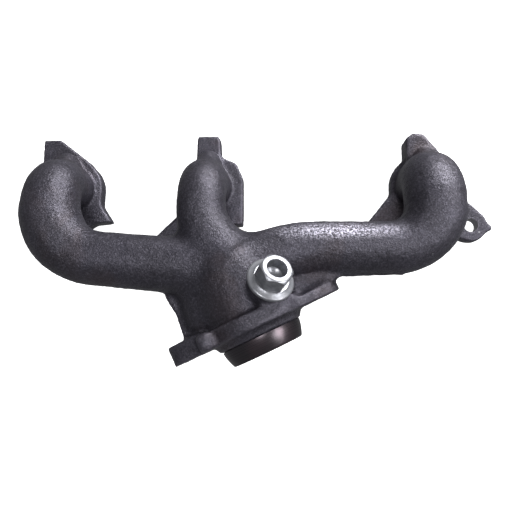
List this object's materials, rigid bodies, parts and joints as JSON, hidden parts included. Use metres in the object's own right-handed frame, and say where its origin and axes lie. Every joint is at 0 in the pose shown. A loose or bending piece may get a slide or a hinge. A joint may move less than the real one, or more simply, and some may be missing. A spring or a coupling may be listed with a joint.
{
  "type": "exhaust manifold",
  "caption": "Cast-iron log exhaust manifold: elbow runners join in a collector that ends in a tilted flange with a seat ring; a flanged hexagon plug screws into the collector.",
  "frame": {"origin": "centre of the middle port on the machined head face", "axes": "+X along the row of ports from the front port to the rear port, +Y up the side of the head towards the locating tabs, +Z square away from the head face"},
  "size_m": [0.3637, 0.1803, 0.1008],
  "materials": {
    "cast_iron": "rough sand-cast skin with a thin dark oxide",
    "turned_steel": "turned, dark heat-tinted",
    "washer_steel": "dull plated",
    "zinc_plate": "bright zinc plate"
  },
  "bodies": {
    "casting": {"front_head_flange": "cast_iron", "middle_head_flange": "cast_iron", "rear_head_flange": "cast_iron", "front_tab": "cast_iron", "middle_tab": "cast_iron", "rear_tab": "cast_iron", "front_lug": "cast_iron", "rear_lug": "cast_iron", "middle_ear_lug": "cast_iron", "rear_ear_lug": "cast_iron", "front_runner": "cast_iron", "middle_runner": "cast_iron", "rear_runner": "cast_iron", "front_elbow": "cast_iron", "rear_elbow": "cast_iron", "front_log": "cast_iron", "rear_log": "cast_iron", "collector": "cast_iron", "front_log_arm": "cast_iron", "middle_runner_arm": "cast_iron", "rear_log_arm": "cast_iron", "outlet_neck": "cast_iron", "front_web": "cast_iron", "rear_web": "cast_iron", "plug_boss": "cast_iron", "outlet_flange": "cast_iron", "front_stud_ear": "cast_iron", "rear_stud_ear": "cast_iron", "clamp_rib": "cast_iron", "seat_ring": "turned_steel"},
    "washer": {"plug_washer": "washer_steel"},
    "plug": {"port_plug": "zinc_plate"}
  },
  "joints": [
    {"name": "plug_lift", "type": "slide", "parent": "casting", "child": "washer", "axis": [0.3365, 0.4466, 0.829], "range_m": [0, 0.015]},
    {"name": "plug_turn", "type": "hinge", "parent": "washer", "child": "plug", "pos_m": [0.04868, -0.07982, 0.0815], "axis": [0.3365, 0.4466, 0.829], "range_deg": [0, 3420]}
  ],
  "couplings": [
    {"joint": "plug_lift", "follows": "plug_turn", "m_per_rad": 0.00023873}
  ]
}
